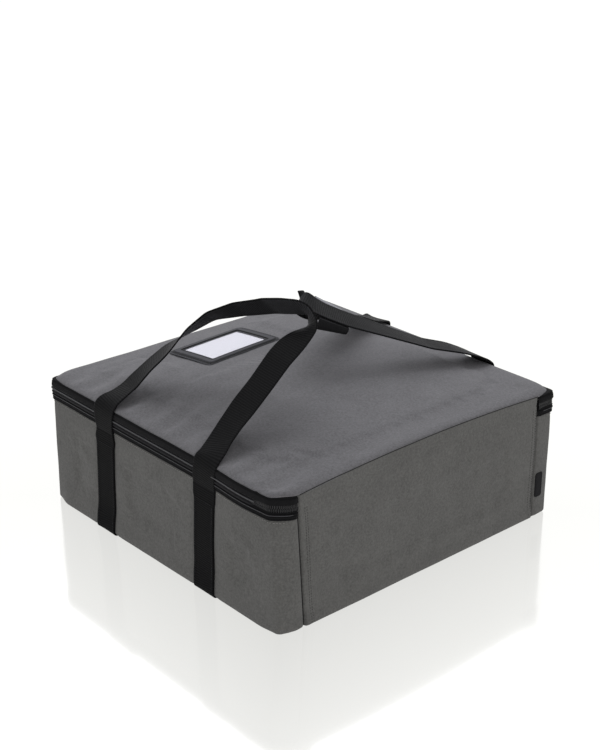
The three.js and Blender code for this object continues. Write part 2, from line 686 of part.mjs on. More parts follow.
// The flaps are straight along the chord of the edge that they turn on, and taper along it.
function gripFlap(side, line, taper) {
  const ends = [GRIP_FROM, GRIP_TO].map((i) => webFrame(BACK, i / LOOP_STEPS));
  const edge = ends.map((f) => place(f, side * (W + FLAP_GAP), WRAP));
  const along = edge[1].clone().sub(edge[0]).normalize();
  const w = ends[0].w.clone().add(ends[1].w);
  w.addScaledVector(along, -w.dot(along)).normalize();
  const frames = edge.map((c) => ({ c, w, n: along.clone().cross(w) }));
  const section = strip(line, -GRIP_T);
  const rings = frames.map((f, i) => section.map(([a, b]) => place(f, a * taper ** i, b * taper ** i)));
  return loft(rings, { section });
}
const FAR_LINE = [[0, 0], [4, 0.8], [8.5, 0.6], [12, -2], [13.5, -6], [13.5, -11]];
const NEAR_LINE = [[-1, -17], [-4, -14], [-5.5, -9], [-5, -4.4], [-3.2, 0], [0, 0]];
add("grip_far_flap", gripFlap(1, FAR_LINE, 0.55), "grip");
add("grip_near_flap", gripFlap(-1, NEAR_LINE, 0.55), "gripDark");

export default bag;
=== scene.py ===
import math

import bpy
import numpy as np
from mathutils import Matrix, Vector, noise
from mathutils.bvhtree import BVHTree

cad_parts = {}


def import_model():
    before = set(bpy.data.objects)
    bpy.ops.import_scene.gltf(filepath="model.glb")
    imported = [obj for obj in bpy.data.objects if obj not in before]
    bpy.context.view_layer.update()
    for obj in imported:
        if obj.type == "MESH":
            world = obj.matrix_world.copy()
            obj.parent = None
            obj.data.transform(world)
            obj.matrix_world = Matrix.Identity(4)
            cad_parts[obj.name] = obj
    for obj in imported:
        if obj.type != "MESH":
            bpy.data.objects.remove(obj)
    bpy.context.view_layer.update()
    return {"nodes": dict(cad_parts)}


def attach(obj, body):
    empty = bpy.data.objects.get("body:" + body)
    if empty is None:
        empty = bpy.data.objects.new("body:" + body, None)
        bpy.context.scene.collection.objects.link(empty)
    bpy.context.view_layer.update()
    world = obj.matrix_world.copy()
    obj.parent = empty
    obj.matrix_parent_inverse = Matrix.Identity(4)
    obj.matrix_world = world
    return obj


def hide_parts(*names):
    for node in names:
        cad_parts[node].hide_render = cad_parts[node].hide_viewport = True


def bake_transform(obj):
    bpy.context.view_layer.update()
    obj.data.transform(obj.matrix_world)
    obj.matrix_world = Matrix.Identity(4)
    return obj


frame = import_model()
nodes = frame["nodes"]
MM = 0.001
TAU = 2 * math.pi

# Sizes in millimetres
HALF, CORNER = 225.0, 7.0  # half of the square plan's side, and the radius of its corners
REACH = HALF - CORNER  # where the straight part of a side ends
UNDERSIDE = 2.1  # height of the fabric under the base
BASE_R = 3.5  # roll of the walls' fabric at the base edge
SAG = 1.5  # how far that edge hangs down between the straps
WALL_TOP = 144.0  # top edge of the walls' fabric, under the zip
ZIP_Z = 158.0  # where the two halves of the zip meet
RIM = 169.7  # lower edge of the lid's fabric
HINGE_BULGE = 7.3  # extra height of that edge in the middle of the hinge side
ROLL_W, ROLL_H = 12, 5  # rolled edge of the lid
CROWN = 13.3  # rise of the lid's middle over its rolled edge
LID_END = 222.0  # depth at which the lid's rings end, just short of its middle
NEAR_SEAM, FAR_SEAM = -199.0, 195.5  # Y of the hinge side's upright seams at the zip
SEAM_LEAN = 9.5  # how far the near seam leans in from the base up to the zip
HALF_WEB, WEB_T = 20.0, 1.8  # half the width of the webbing, and its thickness
STRAP_W = 36.6  # a sewn strap, drawn a little narrower by its stitches
STRAP_END = 138  # height at which the loops leave the straps
LABEL_X, LABEL_Y = -135.0, -12.0  # middle of the label pocket
LABEL_TURN = np.radians(4.5)
NARROWED = 5  # how much narrower the front loop is at its roots
SWELL = 3.0  # furthest that the simulated padding may move the cloth


# ---------------------------------------------------------------- meshes
def make(name, points, faces, body, material, stands=(), uv=None, smooth=True):
    """A new mesh object from points in millimetres, on its body. It stands for some nodes."""
    data = bpy.data.meshes.new(name)
    data.from_pydata([tuple(p) for p in np.asarray(points) * MM], [], [tuple(f) for f in faces])
    data.update()
    if uv is not None:
        layer = data.uv_layers.new(name="cloth")
        index = np.empty(len(data.loops), int)
        data.loops.foreach_get("vertex_index", index)
        layer.data.foreach_set("uv", (np.asarray(uv)[index] * MM).astype(np.float32).ravel())
    if smooth:
        data.polygons.foreach_set("use_smooth", [True] * len(data.polygons))
    data.materials.append(material)
    obj = bpy.data.objects.new(name, data)
    bpy.context.scene.collection.objects.link(obj)
    if isinstance(body, str):
        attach(obj, body)
    if stands:
        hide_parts(*stands)
    return obj


def grid_faces(rows, cols, wrap=False, base=0, flip=False):
    """Quads over rows of points. With wrap the last column is joined to the first."""
    i, j = np.meshgrid(np.arange(rows - 1), np.arange(cols if wrap else cols - 1), indexing="ij")
    i, j = i.ravel() * cols, j.ravel()
    after = (j + 1) % cols
    quads = np.stack([i + j, i + cols + j, i + cols + after, i + after], 1) + base
    return quads[:, ::-1] if flip else quads


def grid(name, points, body, material, stands=(), uv=None, flip=False, wrap=False):
    """A sheet over rows of points."""
    rows, cols = points.shape[:2]
    faces = grid_faces(rows, cols, wrap, flip=flip)
    flat = None if uv is None else uv.reshape(-1, 2)
    return make(name, points.reshape(-1, 3), faces, body, material, stands, flat)


def smooth_step(x, a, b):
    """0 up to a, 1 from b on, and a soft ramp between them."""
    t = np.clip((np.asarray(x, float) - a) / (b - a), 0, 1)
    return t * t * (3 - 2 * t)


def unit(rows):
    """Rows of vectors, each at length 1."""
    return rows / np.linalg.norm(rows, axis=1)[:, None]


def square_to(along, rows):
    """What is square to the way along in each row, at length 1."""
    return unit(rows - along * (rows * along).sum(1)[:, None])


def travelled(path):
    """Length gone at each point of a path."""
    return np.concatenate([[0], np.cumsum(np.linalg.norm(np.diff(path, axis=0), axis=1))])


def waves(x, y, z, size, seed=0.0):
    """Smooth noise over points in millimetres, about -1 to 1."""
    flat = np.stack(np.broadcast_arrays(x, y, z), -1).reshape(-1, 3) / size + seed
    out = np.array([noise.noise(Vector(p)) for p in flat])
    return out.reshape(np.broadcast_arrays(x, y, z)[0].shape)


# ---------------------------------------------------------------- materials
def tree_of(name):
    """A new material with its node tree and shader."""
    material = bpy.data.materials.new(name)
    material.use_nodes = True
    tree = material.node_tree
    tree.nodes.clear()
    out = tree.nodes.new("ShaderNodeOutputMaterial")
    shader = tree.nodes.new("ShaderNodeBsdfPrincipled")
    tree.links.new(shader.outputs[0], out.inputs[0])
    return material, tree, shader


def node(tree, kind, links=(), **values):
    """A new shader node with some properties or sockets set and some sockets linked."""
    made = tree.nodes.new(kind)
    for key, value in values.items():
        if hasattr(made, key):
            setattr(made, key, value)
        else:
            made.inputs[key.replace("_", " ")].default_value = value
    for key, source in dict(links).items():
        tree.links.new(source, made.inputs[key])
    return made


def maths(tree, op, *values):
    """Output of a math node over numbers and other nodes' outputs."""
    made = tree.nodes.new("ShaderNodeMath")
    made.operation = op
    for i, value in enumerate(values):
        if isinstance(value, (int, float)):
            made.inputs[i].default_value = value
        else:
            tree.links.new(value, made.inputs[i])
    return made.outputs[0]


def ribs(tree, coordinate, pitch):
    """A rounded rib pattern along one coordinate, 0 to 1, with a pitch in metres."""
    turned = maths(tree, "SINE", maths(tree, "MULTIPLY", coordinate, TAU / pitch))
    return maths(tree, "MULTIPLY_ADD", turned, 0.5, 0.5)


def tint(tree, colour, factor_out, low, high):
    """The colour times a factor that runs from low to high."""
    ramp = node(tree, "ShaderNodeMapRange", {"Value": factor_out}, To_Min=low, To_Max=high)
    mix = node(tree, "ShaderNodeVectorMath", operation="SCALE")
    mix.inputs[0].default_value = colour
    tree.links.new(ramp.outputs[0], mix.inputs["Scale"])
    return mix.outputs[0]


def cloth(name, colour, rough=0.85, pitch=0.0011, weave=0.22, mottle=0.1, sheen=0.25, uv=True,
          across=0.0, streak=0.0, shine=0.15, fuzz_rough=0.5, rib=0.45, soft=0.3):
    """Woven cloth: two crossing ribs, fine fuzz, soft mottling and a little sheen. The pitches of the ribs
    are in metres, and streak is the share of the second rib where the first one rules."""
    material, tree, shader = tree_of(name)
    place = tree.nodes.new("ShaderNodeTexCoord")
    source = place.outputs["UV"] if uv else place.outputs["Object"]
    split = node(tree, "ShaderNodeSeparateXYZ", {0: source})
    one = ribs(tree, split.outputs[0], pitch)
    two = ribs(tree, split.outputs[1], across or pitch)
    woven = maths(tree, "MULTIPLY", one, two) if not streak else maths(
        tree, "MULTIPLY_ADD", one, 1 - streak, maths(tree, "MULTIPLY", two, streak))
    fuzz = node(tree, "ShaderNodeTexNoise", {"Vector": place.outputs["Object"]}, Scale=360.0, Detail=4.0,
                Roughness=0.75)
    speck = node(tree, "ShaderNodeMapRange", {"Value": fuzz.outputs[0]}, From_Min=0.3, From_Max=0.7)
    broad = node(tree, "ShaderNodeTexNoise", {"Vector": place.outputs["Object"]}, Scale=28.0, Detail=4.0,
                 Roughness=0.6)
    detail = maths(tree, "MULTIPLY_ADD", woven, rib, maths(tree, "MULTIPLY", speck.outputs[0], 1 - rib))
    both = maths(tree, "MULTIPLY_ADD", broad.outputs[0], soft, maths(tree, "MULTIPLY", detail, 1 - soft))
    tree.links.new(tint(tree, colour, both, 1 - 2 * mottle, 1 + 2 * mottle), shader.inputs["Base Color"])
    uneven = node(tree, "ShaderNodeMapRange", {"Value": broad.outputs[0]}, To_Min=rough - 0.07,
                  To_Max=min(rough + 0.07, 1.0))
    tree.links.new(uneven.outputs[0], shader.inputs["Roughness"])
    bump = node(tree, "ShaderNodeBump", {"Height": detail}, Strength=weave, Distance=0.0004)
    tree.links.new(bump.outputs[0], shader.inputs["Normal"])
    shader.inputs["Specular IOR Level"].default_value = shine
    shader.inputs["Sheen Weight"].default_value = sheen
    shader.inputs["Sheen Roughness"].default_value = fuzz_rough
    shader.inputs["Sheen Tint"].default_value = (0.75, 0.75, 0.8, 1)
    return material


def hard(name, colour, rough, metal=0.0, grain=300.0, bump=0.1, mottle=0.08, coat=0.0, alpha=1.0,
         shine=0.3):
    """Plastic, foil or coated metal with small wear and unevenness."""
    material, tree, shader = tree_of(name)
    place = tree.nodes.new("ShaderNodeTexCoord")
    cloud = node(tree, "ShaderNodeTexNoise", {"Vector": place.outputs["Object"]}, Scale=grain, Detail=4.0)
    tree.links.new(tint(tree, colour, cloud.outputs[0], 1 - mottle, 1 + mottle), shader.inputs["Base Color"])
    uneven = node(tree, "ShaderNodeMapRange", {"Value": cloud.outputs[0]}, To_Min=max(rough - 0.08, 0.02),
                  To_Max=rough + 0.08)
    tree.links.new(uneven.outputs[0], shader.inputs["Roughness"])
    relief = node(tree, "ShaderNodeBump", {"Height": cloud.outputs[0]}, Strength=bump, Distance=0.0005)
    tree.links.new(relief.outputs[0], shader.inputs["Normal"])
    shader.inputs["Metallic"].default_value = metal
    shader.inputs["Coat Weight"].default_value = coat
    shader.inputs["Specular IOR Level"].default_value = shine
    shader.inputs["Alpha"].default_value = alpha
    return material


WEBBING = dict(rough=0.55, pitch=0.0029, across=0.0016, weave=0.8, mottle=0.45, streak=0.2, rib=0.8, soft=0.15)
TAPE = dict(pitch=0.0012, across=0.0006, sheen=0.0, streak=0.2)
PILE = dict(pitch=0.0016, weave=0.8, mottle=0.2, uv=False)
THREAD = dict(pitch=0.0005, weave=0.3, uv=False)
M = {
    # Painted light: the lid's cloth is a lighter, slightly bluer copy of the walls' cloth, standing in for the
    # stronger light that falls on the top from above
    "wall": cloth("wall_cloth", (0.098, 0.0965, 0.0935), mottle=0.3, sheen=0.08, weave=0.35),
    "lid": cloth("lid_cloth", (0.112, 0.110, 0.117), mottle=0.3, sheen=0.12, weave=0.35),
    "base": cloth("base_cloth", (0.08, 0.08, 0.08), uv=False),
    # Painted light: the loops' webbing is a lighter copy of the straps' webbing, with more sheen, standing in for
    # the light that falls on the loops from above
    "web": cloth("webbing", (0.0052, 0.0052, 0.0056), sheen=0.03, shine=0.02, fuzz_rough=0.25, **WEBBING),
    "loop": cloth("top_lit_loop_webbing", (0.0056, 0.0056, 0.0061), sheen=0.1, shine=0.03, fuzz_rough=0.3, **WEBBING),
    "tape": cloth("zip_tape", (0.0065, 0.0065, 0.0072), rough=0.7, weave=0.5, mottle=0.2, shine=0.06, **TAPE),
    "ridge": cloth("zip_ridge", (0.008, 0.008, 0.0095), rough=0.5, weave=0.3, mottle=0.15, shine=0.08, **TAPE),
    # Painted highlight: the cords are lighter than the tape they lie on, standing in for the light along its
    # ridges; their shine is real
    "cord": cloth("zip_highlight_cord", (0.035, 0.035, 0.04), rough=0.4, pitch=0.0012, weave=0.3, uv=False, sheen=0.0,
                  shine=0.4),
    "pile": cloth("soft_pile", (0.19, 0.19, 0.21), rough=0.95, sheen=0.5, **PILE),
    "hook": cloth("hook_pile", (0.010, 0.010, 0.011), rough=0.85, sheen=0.02, shine=0.1, **PILE),
    "foam": hard("wadding", (0.68, 0.68, 0.64), 0.95, grain=140.0, bump=0.6),
    "lining": hard("foil_lining", (0.55, 0.57, 0.6), 0.34, metal=0.85, grain=45.0, bump=0.9),
    "board": hard("board", (0.03, 0.03, 0.03), 0.6),
    "coil": hard("coil", (0.012, 0.012, 0.0135), 0.28, grain=800.0, coat=0.04, shine=0.32),
    "frame": hard("label_frame", (0.05, 0.05, 0.056), 0.6, grain=900.0, bump=0.35, shine=0.05),
    "card": hard("card", (0.52, 0.515, 0.575), 0.5, grain=60.0, mottle=0.03, shine=0.2),
    "window": hard("clear_sheet", (0.95, 0.95, 1.0), 0.12, grain=40.0, bump=0.15, mottle=0.01, alpha=0.12),
    "metal": hard("slider_metal", (0.03, 0.03, 0.032), 0.35, metal=0.7, grain=500.0, coat=0.3),
    "thread": cloth("thread", (0.2, 0.195, 0.185), rough=0.7, **THREAD),
    "strap_thread": cloth("strap_thread", (0.016, 0.016, 0.018), rough=0.6, sheen=0.0, **THREAD),
    # Near-black: the stitches' thread, and also the dark tubes laid as painted shade in seams and in the label's
    # steps
    "dark_thread_and_shade": cloth("dark_thread_and_shade", (0.012, 0.012, 0.012), rough=0.6, sheen=0.0, **THREAD),
}


def top_light_sheen(material, low, high, sheen):
    """Painted light: the sheen fades out towards the piece's lower end, between two heights in metres, so that its
    upper part looks lit from above.
    """
    tree = material.node_tree
    shader = next(n for n in tree.nodes if n.type == "BSDF_PRINCIPLED")
    place = tree.nodes.new("ShaderNodeTexCoord")
    split = node(tree, "ShaderNodeSeparateXYZ", {0: place.outputs["Object"]})
    fade = node(tree, "ShaderNodeMapRange", {"Value": split.outputs[2]}, From_Min=low, From_Max=high,
                To_Min=0.02, To_Max=sheen)
    tree.links.new(fade.outputs[0], shader.inputs["Sheen Weight"])


# Painted light: more sheen on the loops' upper part, as if lit from above
top_light_sheen(M["loop"], 0.15, 0.3, 0.17)


# ---------------------------------------------------------------- plan of the bag
STRAIGHT = 2 * REACH
ARC = CORNER * math.pi / 2
SIDE = ARC + STRAIGHT
LENGTH = 4 * SIDE
NEAR_L, FAR_L = -(REACH + NEAR_SEAM), LENGTH - (REACH + FAR_SEAM)  # lengths of the two seams


def plan(length):
    """Point and outward normal on the outer face, by millimetres from the near end of the hinge side,
    round the near corner, the front, the left side and the back. Negative goes up the hinge side."""
    l = np.mod(np.asarray(length, float), LENGTH)
    shape = l.shape
    l = l.ravel()
    leg = np.minimum((l // SIDE).astype(int), 3)
    rest = l - leg * SIDE
    cx = np.array([REACH, -REACH, -REACH, REACH])[leg]
    cy = np.array([-REACH, -REACH, REACH, REACH])[leg]
    start = np.radians(np.array([0.0, -90.0, -180.0, -270.0])[leg])
    turn = start - np.minimum(rest, ARC) / CORNER
    nx, ny = np.cos(turn), np.sin(turn)
    run = np.maximum(rest - ARC, 0)
    x = cx + CORNER * nx + run * ny
    y = cy + CORNER * ny - run * nx
    return [a.reshape(shape) for a in (x, y, nx, ny)]


def side_share(length):
    """How far along its straight side a place is, 0 to 1, and 0 in the corners."""
    rest = np.mod(np.asarray(length, float), LENGTH)
    rest = rest - np.floor(rest / SIDE) * SIDE
    return np.clip((rest - ARC) / STRAIGHT, 0, 1)


def from_corner(length):
    """How far a place is from the nearer end of its straight side."""
    share = side_share(length)
    return np.minimum(share, 1 - share) * STRAIGHT


def near_seam(z):
    """Y of the hinge side's near seam by height."""
    return NEAR_SEAM + (ZIP_Z - np.clip(z, 0, ZIP_Z)) / ZIP_Z * SEAM_LEAN


def places(step, fine, lo, hi):
    """Lengths along the plan between two ends, closer together in the corners."""
    ends = [(k * SIDE + at, gap) for k in range(4) for at, gap in ((0, step), (ARC, fine))]
    marks = [lo]
    for edge, gap in [end for end in ends if lo < end[0] < hi] + [(hi, step)]:
        count = max(int(round((edge - marks[-1]) / gap)), 1)
        marks += list(np.linspace(marks[-1], edge, count + 1)[1:])
    return np.array(marks)


def lean(points):
    """The whole bag's near corner leans in, and the front bulges a little beside it."""
    p = np.array(points, float)
    x, y, z = p[..., 0], p[..., 1], p[..., 2]
    high = np.clip(z / 150, 0, 1.1)
    at = np.exp(-(np.maximum(y + 226, 0) / 13) ** 2) * smooth_step(x, 165, 225)
    front = 1 - smooth_step(y, -226, -150)
    p[..., 0] -= (5 + 8 * high) * at
    p[..., 1] -= 3.6 * np.exp(-((x - 165) / 42) ** 2) * smooth_step(z, 40, 150) * front
    left = (1 - smooth_step(x, -225, -190)) * (1 - smooth_step(y, -225, -60))
    p[..., 0] += 1.2 * left * smooth_step(z, 60, 150)
    return p


# Side of each strap along Y, and X of its middle at some heights
STRAP_LEVELS = (0, 22, 60, 118)
STRAPS = {
    "front_left": (-1, (-103.5, -106.5, -105.0, -103.0)),
    "front_right": (-1, (93.0, 91.0, 91.5, 94.5)),
    "back_left": (1, (-98.0,) * 4),
    "back_right": (1, (102.0,) * 4),
}


def strap_x(name, z):
    """Middle of a strap along X: it wanders a little on its way up."""
    return np.interp(z, STRAP_LEVELS, STRAPS[name][1])


def strap_near(x, y, z):
    """1 where a strap passes over the front or back face, else 0, with soft edges."""
    near = np.zeros(np.broadcast_arrays(x, y)[0].shape)
    for name, (side, _) in STRAPS.items():
        off = np.abs(x - strap_x(name, z))
        near = np.maximum(near, (1 - smooth_step(off, 16, 27)) * (side * y > REACH))
    return near


def wall_out(l, x, y, z):
    """How far the padded wall stands out of the flat face."""
    up = np.clip((z - 2) / 142, 0, 1)
    belly = 2.4 * np.sin(np.pi * side_share(l)) ** 0.6 * np.sin(np.pi * up) ** 0.7
    soft = 0.8 * waves(x, y, z, 75, 3.1) + 0.25 * waves(x, y, z, 24, 7.7)
    below = WALL_TOP - np.minimum(z, WALL_TOP)
    edge = np.exp(-below / 8.0)
    pucker = (0.3 * edge + 0.12 * np.exp(-below / 22.0)) * np.sin(
        l * TAU / 9.5 + 3.0 * waves(x, y, 0 * z, 34, 1.3) + (WALL_TOP - z) * 0.05)
    pressed = 1 - 0.6 * strap_near(x, y, z)
    front = (y < -REACH) * (1.5 + 3.5 * smooth_step(-x, -200, 200))
    foot = (1.5 + front) * np.exp(-((np.maximum(z, 0) / 22) ** 2)) * smooth_step(from_corner(l), -6, 26)
    return ((belly + soft) * pressed * (1 - 0.6 * edge) + pucker - 0.9 * edge) * smooth_step(z, -1, 5) + foot


# ---------------------------------------------------------------- padding
def points_of(obj):
    """The mesh's own points in millimetres."""
    flat = np.empty(3 * len(obj.data.vertices))
    obj.data.vertices.foreach_get("co", flat)
    return flat.reshape(-1, 3) / MM


def settled(obj, held):
    """Let the padding push the cloth out: a short simulation with the held share of each point, 0 to 1.
    The way that a point moves is written into the mesh, no further than SWELL."""
    start = points_of(obj)
    group = obj.vertex_groups.new(name="held")
    level = np.round(held, 1)
    for weight in np.unique(level):
        group.add([int(k) for k in np.nonzero(level == weight)[0]], float(weight), "REPLACE")
    mod = obj.modifiers.new("settle", "CLOTH")
    mod.collision_settings.use_collision = False
    rules = mod.settings
    rules.quality = 6
    rules.mass = 0.15
    rules.tension_stiffness = rules.compression_stiffness = 15
    rules.shear_stiffness = 5
    rules.bending_stiffness = 0.5
    rules.air_damping = 1
    rules.shrink_min = -0.012  # the cloth is cut a little loose
    rules.use_pressure = True
    rules.uniform_pressure_force = 4.0
    rules.vertex_group_mass = "held"
    rules.effector_weights.gravity = 0
    scene = bpy.context.scene
    for frame_number in range(1, 21):
        scene.frame_set(frame_number)
    seen = obj.evaluated_get(bpy.context.evaluated_depsgraph_get())
    flat = np.empty(3 * len(start))
    seen.data.vertices.foreach_get("co", flat)
    moved = flat.reshape(-1, 3) / MM - start
    far = np.linalg.norm(moved, axis=1)
    obj.modifiers.remove(mod)
    obj.vertex_groups.remove(group)
    scene.frame_set(1)
    moved *= np.minimum(1.0, SWELL / np.maximum(far, 1e-9))[:, None] * (1 - held)[:, None]
    obj.data.vertices.foreach_set("co", ((start + moved) * MM).ravel())
    obj.data.update()


# ---------------------------------------------------------------- walls
def wall_section():
    """Section of the wall from its top edge to under the base roll: rows of depth and height."""
    turn = np.radians(np.linspace(10, 90, 7))
    roll_d = BASE_R - BASE_R * np.cos(turn)
    roll_z = UNDERSIDE + BASE_R - BASE_R * np.sin(turn)
    tuck = [[1.4, WALL_TOP - 1], [0.3, WALL_TOP + 0.1]]
    face = [[0, z] for z in np.linspace(WALL_TOP + 0.2, 6, 42)]
    tail = [[14.0, UNDERSIDE], [24.0, UNDERSIDE + 0.3]]
    return np.array([*tuck, *face, *zip(roll_d, roll_z), *tail])


WALL_ROWS = len(wall_section())
HINGE_RISE = np.linspace(0, 1, 12)[1:]  # rows of the hinge side's fabric over the walls' top edge


def wall_band():
    """Fabric of the front, left and back walls, with its lower edge hanging a little between the straps."""
    d, z = wall_section().T
    start = NEAR_L + np.linspace(0, 1, 8)[:-1] ** 1.4 * 9
    end = FAR_L - np.linspace(1, 0, 8) ** 1.4 * 12
    base = np.concatenate([start, places(4.2, 1.6, NEAR_L + 9, FAR_L - 12), end[1:]])
    shift = (NEAR_SEAM - near_seam(z))[None, :]
    l = base[:, None] + shift * (1 - smooth_step(base, NEAR_L, -1))[:, None]
    x, y, nx, ny = plan(l)
    z = np.broadcast_to(z, l.shape)
    seam = np.minimum(base - NEAR_L, FAR_L - base)[:, None]
    pinch = np.exp(-(seam / 1.5) ** 2)
    depth = d - wall_out(l, x, y, z) * (1 - pinch) * smooth_step(seam, 0, 10) + 3.2 * pinch
    sag = SAG * (1 - strap_near(x, y, z)) * (1 - smooth_step(z, 2, 14))
    points = lean(np.stack([x - nx * depth, y - ny * depth, z - sag], -1))
    uv = np.stack([l, z - d], -1)
    obj = grid("walls", points, "body", M["wall"], ["wall_band"], uv, flip=True)
    free = smooth_step(z, 4, 50) * (1 - smooth_step(z, 95, 141)) * smooth_step(seam, 6, 60)
    free = free * smooth_step(from_corner(l), 0, 50)
    for name, (side, _) in STRAPS.items():
        free = free * np.where(side * y > REACH, smooth_step(np.abs(x - strap_x(name, z)), 19, 50), 1)
    settled(obj, 1 - free.ravel())
    return obj


def hinge_rise(y):
    """How far the lid's edge rises over RIM along the hinge side."""
    return HINGE_BULGE * np.maximum(0, 1 - (y / 195) ** 2)


def hinge_fabric():
    """The hinge side's fabric in one piece up to the lid's edge, with a soft crease where the lid turns."""
    lower = wall_section()[2:][::-1]
    middle = np.linspace(0.04, 0.96, 76)
    t = np.concatenate([np.linspace(0, 1, 9)[:-1] ** 2 * 0.04, middle, 1 - np.linspace(1, 0, 9)[1:] ** 2 * 0.04])
    across = t[:, None]
    bottom = WALL_TOP + 0.2
    top = RIM - 0.1 + hinge_rise(-195 + 390 * across)
    height = np.hstack([np.tile(lower[:, 1], (len(t), 1)), bottom + (top - bottom) * HINGE_RISE])
    depth = np.hstack([np.tile(lower[:, 0], (len(t), 1)), np.zeros((len(t), len(HINGE_RISE)))])
    low = np.where(np.arange(height.shape[1]) < len(lower), near_seam(height), near_seam(ZIP_Z))
    y = low + (FAR_SEAM - low) * across
    px, py, nx, ny = plan(-(y + REACH))
    up = np.clip((height - 4) / 166, 0, 1)
    belly = 3.0 * np.sin(np.pi * across) ** 0.7 * np.sin(np.pi * up) ** 0.8
    soft = 1.0 * waves(px, py, height, 75, 5.5) + 0.35 * waves(px, py, height, 24, 2.2)
    edge = np.minimum(across, 1 - across) * 394  # from the nearer seam
    pinch = np.exp(-(edge / 1.5) ** 2)
    crease = 0.6 * np.exp(-((height - 158.8) / 3.0) ** 2)
    stitched = 0.25 * np.exp(-((edge - 12.5) / 1.5) ** 2) * (across < 0.5)
    out = (belly + soft) * (1 - pinch) * smooth_step(height, 0, 6) - 3.2 * pinch - crease - stitched
    out = out + 3.0 * np.exp(-((height - 7) / 10) ** 2) * (1 - pinch) * smooth_step(height, -1, 5)
    reach = depth - out
    sag = SAG * (1 - smooth_step(height, 2, 14))
    points = lean(np.stack([px - nx * reach, py - ny * reach, height - sag], -1))
    uv = np.stack([y, height - depth], -1)
    stands = ["hinge_panel", "hinge_edge"]
    obj = grid("hinge_fabric", points, None, M["wall"], stands, uv, flip=True)
    free = smooth_step(height, 4, 50) * (1 - smooth_step(height, 100, 150)) * smooth_step(edge, 8, 60)
    settled(obj, 1 - free.ravel())
    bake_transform(obj)
    return obj


walls = wall_band()
panel = hinge_fabric()


# ---------------------------------------------------------------- lid
def bow(u):
    """Crown of the lid across one direction, 1 in the middle and 0 at the edge."""
    return 1 - np.minimum(np.abs(u) / HALF, 1) ** 2.5


def lid_soft(x, y):
    """Soft waves of the padded lid, in millimetres."""
    inner = smooth_step(HALF - np.maximum(np.abs(x), np.abs(y)), 0, 26)
    puff = 1.3 * waves(x, y, 0 * x, 95, 1.7) + 0.5 * waves(x, y, 0 * x, 38, 9.2)
    front = np.exp(-np.maximum(y + HALF, 0) / 62)
    tucks = 2.1 * np.sin((x + 0.25 * y) * TAU / 39 + 1.6 * waves(x, y, 0 * x, 60, 4.0))
    long = 0.55 * np.sin((x - 0.15 * y) * TAU / 88 + 2.0)
    dent = -1.6 * np.exp(-((x - 112) / 40) ** 2 - ((y - 178) / 34) ** 2)
    fold = -1.2 * np.exp(-((x + 128 + 0.4 * (y + 150)) / 8) ** 2 - ((y + 165) / 40) ** 2)
    return inner * (puff + 0.35 * long) + front * tucks * smooth_step(y + HALF, 0, 14) + dent + fold


def lid_top(x, y, depth):
    """Height of the lid's outer face at a depth in from its edge."""
    across = np.maximum(0, 1 - (HALF - x) / 60)
    u = 1 - np.minimum(depth / ROLL_W, 1)
    z = RIM + hinge_rise(y) * across**2 + ROLL_H * np.sqrt(1 - u * u) + CROWN * bow(x) * bow(y)
    return z + lid_soft(x, y)


LID_PEAK = lid_top(np.zeros(1), np.zeros(1), LID_END)[0]


def drawn_in(points):
    """The lid's corners away from the near one, drawn in and down a little by the zip."""
    p = np.array(points, float)
    for cx, cy, pull in ((HALF, HALF, 4), (-HALF, -HALF, 2.5), (-HALF, HALF, 2.5)):
        near = np.exp(-((p[:, 0] - cx) ** 2 + (p[:, 1] - cy) ** 2) / 17**2)
        p[:, 0] -= pull * near * np.sign(cx)
        p[:, 1] -= pull * near * np.sign(cy)
        p[:, 2] -= 0.3 * pull * near
    return p


def fan(first, count, tip, outward=True):
    """Triangles that close a ring of points to a tip."""
    ring = [(first + j, first + (j + 1) % count) for j in range(count)]
    return [(a, tip, b) if outward else (a, b, tip) for a, b in ring]


def lid_cover():
    """Crowned skin of the lid, from the lip under its rolled edge to its middle."""
    l = places(5.5, 2.0, 0, LENGTH)[:-1]
    x, y, nx, ny = plan(l)
    roll = ROLL_W * (1 - np.cos(np.linspace(0, np.pi / 2, 10)))
    rows = []
    for d in [*roll, *np.linspace(ROLL_W, LID_END, 70)[1:]]:
        k = 1 - d / HALF
        notch = 1.6 * np.exp(-((x - 198) / 3.5) ** 2) * (y < -220) * math.exp(-d / 3)
        rows.append(np.stack([x * k, y * k, lid_top(x * k, y * k, d) + notch], -1))
    lip = [np.stack([x - nx * q, y - ny * q, rows[0][:, 2] + h], -1) for q, h in ((4, 0.6), (0.7, -0.1))]
    rows = np.array([*lip, *rows])
    count = len(l)
    flat = np.vstack([rows.reshape(-1, 3), [[0, 0, LID_PEAK]]])
    faces = [*map(tuple, grid_faces(len(rows), count, wrap=True))]
    faces += fan((len(rows) - 1) * count, count, len(flat) - 1)
    obj = make("lid_skin", lean(drawn_in(flat)), faces, "lid", M["lid"], ["lid_cover"], flat[:, :2])
    rim = smooth_step(np.abs(flat[:, :2]).max(1), 170, 221)
    from_x, from_y = np.abs(flat[:, 0] - LABEL_X), np.abs(flat[:, 1] - LABEL_Y)
    label = (1 - smooth_step(from_x, 46, 72)) * (1 - smooth_step(from_y, 69, 95))
    settled(obj, np.maximum(rim, label))
    return obj


lid = lid_cover()


